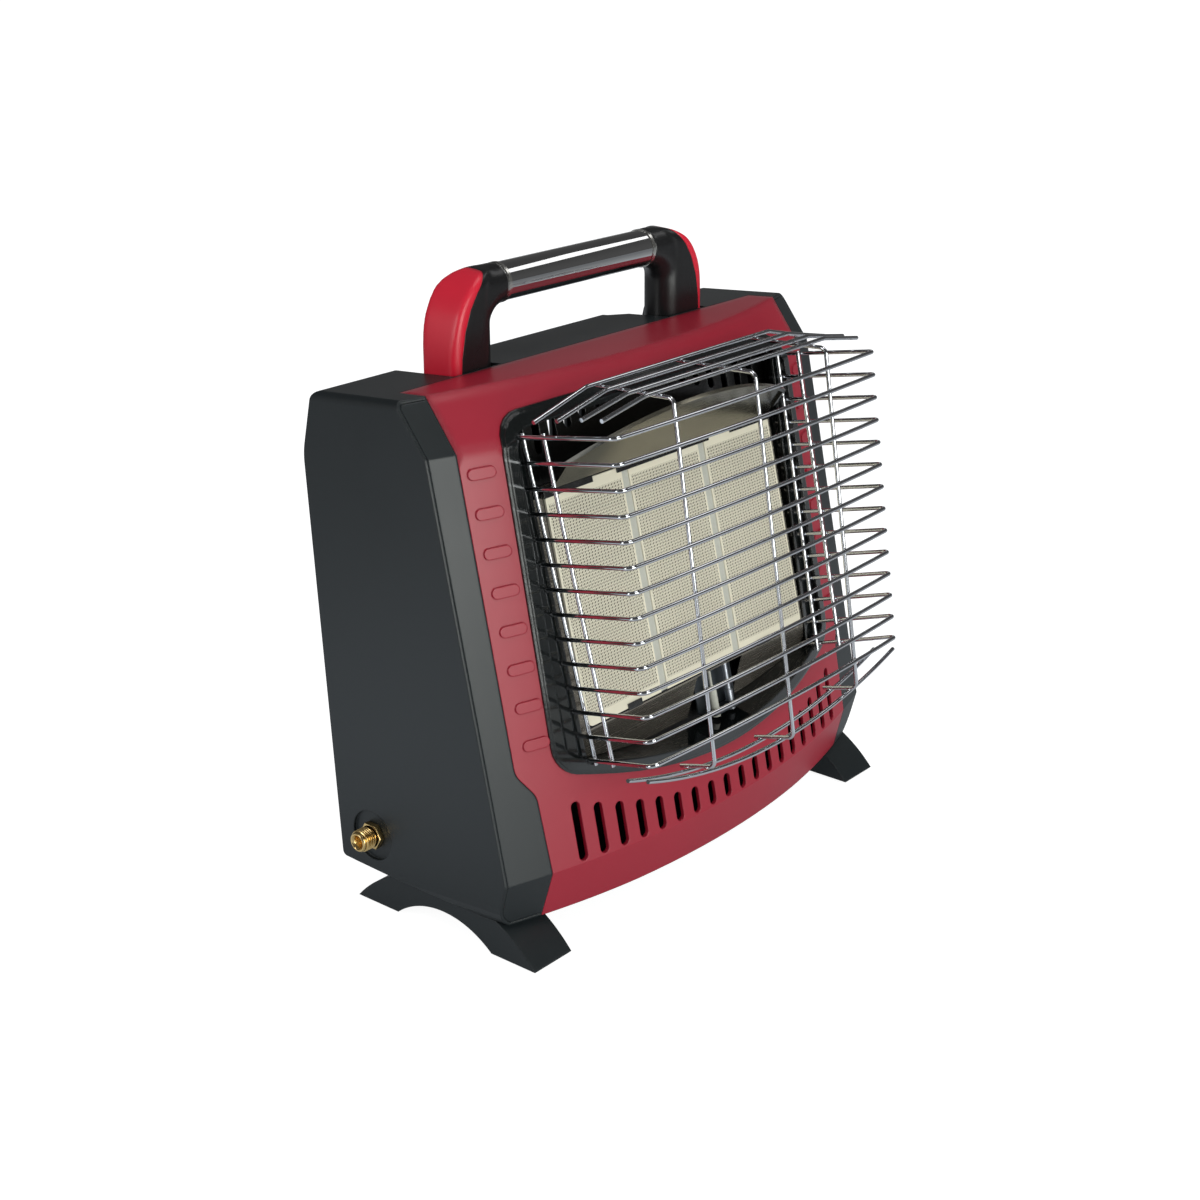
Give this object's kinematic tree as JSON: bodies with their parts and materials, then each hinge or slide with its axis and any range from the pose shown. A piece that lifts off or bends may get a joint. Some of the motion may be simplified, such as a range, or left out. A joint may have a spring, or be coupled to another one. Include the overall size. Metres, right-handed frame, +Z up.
{
  "type": "portable radiant gas heater",
  "caption": "Portable radiant gas heater: bowed red front panel, ceramic burner behind a chromed wire guard, folding carry handle, arched feet, side gas inlet and side control knob.",
  "frame": {"origin": "centre of the bounding box's underside, on the ground the feet stand on", "axes": "+X to the heater's own left as seen from behind, that is to the right of someone facing its front; -Y out of the front; +Z up"},
  "size_m": [0.366, 0.2095, 0.3572],
  "materials": {
    "housing_black": "fine-textured moulded plastic",
    "panel_red": "satin painted plastic",
    "gloss_black": "glossy enamel",
    "dark_sheet": "black heat-proof paint",
    "stainless": "heat-tinted stainless sheet",
    "ceramic_tile": "unglazed perforated plaque",
    "gasket": "fibre gasket",
    "chrome_wire": "bright chromed wire",
    "chrome_grip": "bright chromed tube",
    "arm_black": "satin moulded plastic",
    "cap_red": "semi-gloss moulded plastic",
    "brass": "turned brass",
    "zinc_steel": "zinc-plated steel",
    "electrode_ceramic": "white ceramic insulator",
    "rubber_pad": "rubber"
  },
  "bodies": {
    "heater": {"rear_shell": "housing_black", "front_frame": "housing_black", "front_panel": "panel_red", "window_bezel": "gloss_black", "heat_plate": "dark_sheet", "reflector": "gloss_black", "deflector": "stainless", "burner_box": "zinc_steel", "burner_frame": "dark_sheet", "tile_left": "ceramic_tile", "tile_middle": "ceramic_tile", "tile_right": "ceramic_tile", "tile_joints": "gasket", "mixing_tube": "zinc_steel", "injector": "brass", "gas_pipe": "brass", "supply_pipe": "brass", "inlet_fitting": "brass", "inlet_nut": "brass", "valve_body": "brass", "ignition_bracket": "zinc_steel", "ignition_electrode": "electrode_ceramic", "thermocouple": "zinc_steel", "tilt_switch": "zinc_steel", "guard_bars": "chrome_wire", "guard_post_left": "chrome_wire", "guard_post_middle": "chrome_wire", "guard_post_right": "chrome_wire", "guard_side_rods": "chrome_wire", "guard_top_rods": "chrome_wire", "guard_bottom_rods": "chrome_wire", "handle_pins": "zinc_steel", "foot_left": "housing_black", "foot_right": "housing_black", "foot_pads": "rubber_pad", "foot_screws": "zinc_steel", "shell_screws": "zinc_steel"},
    "handle": {"handle_grip": "chrome_grip", "grip_rings": "chrome_grip", "handle_arm_left": "arm_black", "handle_arm_right": "arm_black", "handle_cap_left": "cap_red", "handle_cap_right": "cap_red"},
    "plunger": {"valve_plunger": "zinc_steel"},
    "control": {"valve_spindle": "zinc_steel", "knob": "arm_black"}
  },
  "joints": [
    {"name": "handle_fold", "type": "hinge", "parent": "heater", "child": "handle", "pos_m": [0, 0.05903, 0.288], "axis": [-1, 0, 0], "range_deg": [0, 90]},
    {"name": "knob_push", "type": "slide", "parent": "heater", "child": "plunger", "axis": [-1, 0, 0], "range_m": [0, 0.004], "stiffness_N_per_m": 1500},
    {"name": "knob_turn", "type": "hinge", "parent": "plunger", "child": "control", "pos_m": [0.17, 0.03903, 0.08], "axis": [-1, 0, 0], "range_deg": [0, 180]}
  ]
}
